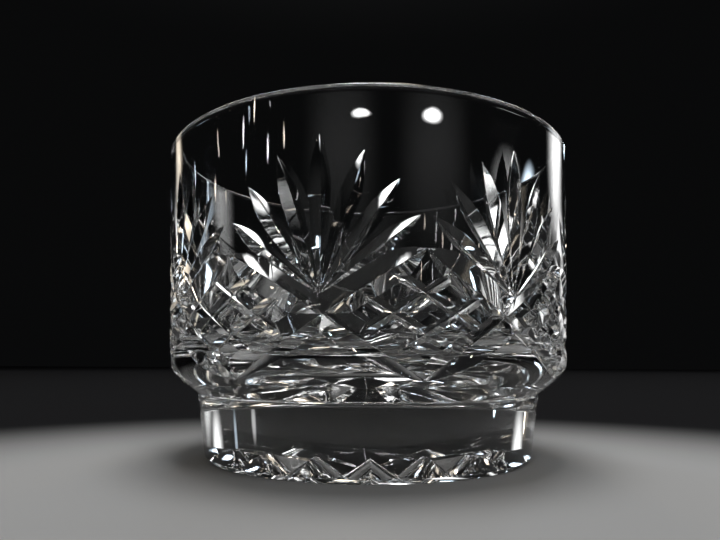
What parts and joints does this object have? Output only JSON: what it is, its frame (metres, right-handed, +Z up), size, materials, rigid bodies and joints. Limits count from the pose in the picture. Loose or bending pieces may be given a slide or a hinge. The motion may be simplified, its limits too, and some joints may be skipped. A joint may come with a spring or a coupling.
{
  "type": "footed crystal bowl",
  "caption": "Straight-sided clear crystal bowl on a thick round foot, wall cut with fans over crosshatched diamonds, star-cut base.",
  "frame": {"origin": "centre of the flat ring that the foot stands on, on the bowl's axis", "axes": "+Z up along the bowl's axis of revolution, -Y towards one of the eight fans"},
  "size_m": [0.2028, 0.2028, 0.146],
  "materials": {
    "crystal": "water-clear colourless crystal, fire-polished walls, bright polished V cuts"
  },
  "bodies": {
    "root": {"bowl": "crystal", "foot": "crystal"}
  },
  "joints": []
}
